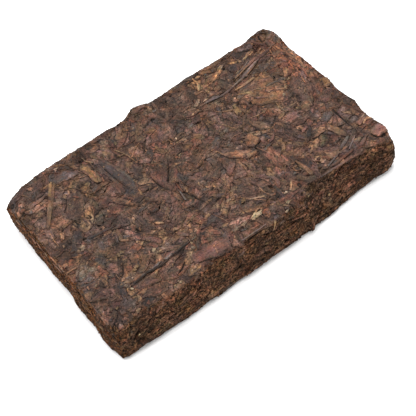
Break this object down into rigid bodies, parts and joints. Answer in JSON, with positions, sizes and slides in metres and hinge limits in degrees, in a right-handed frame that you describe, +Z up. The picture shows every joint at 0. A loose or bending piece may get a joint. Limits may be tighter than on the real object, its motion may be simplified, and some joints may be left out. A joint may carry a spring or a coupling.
{
  "type": "pu erh tea brick",
  "caption": "Oblong pressed brick of dark fermented tea leaves, with a flat underside, a rough leafy top, worn rims and crumbly layered edges.",
  "frame": {"origin": "middle of the brick's bounding box, on the flat underside", "axes": "+X along the brick, +Y across it, +Z up out of the leafy top"},
  "size_m": [0.1536, 0.093, 0.0221],
  "materials": {
    "pressed_tea": "dry pressed leaf, matte with a faint waxy sheen, mottled dark brown, grey brown, russet and tan"
  },
  "bodies": {
    "root": {"tea_brick": "pressed_tea"}
  },
  "joints": []
}
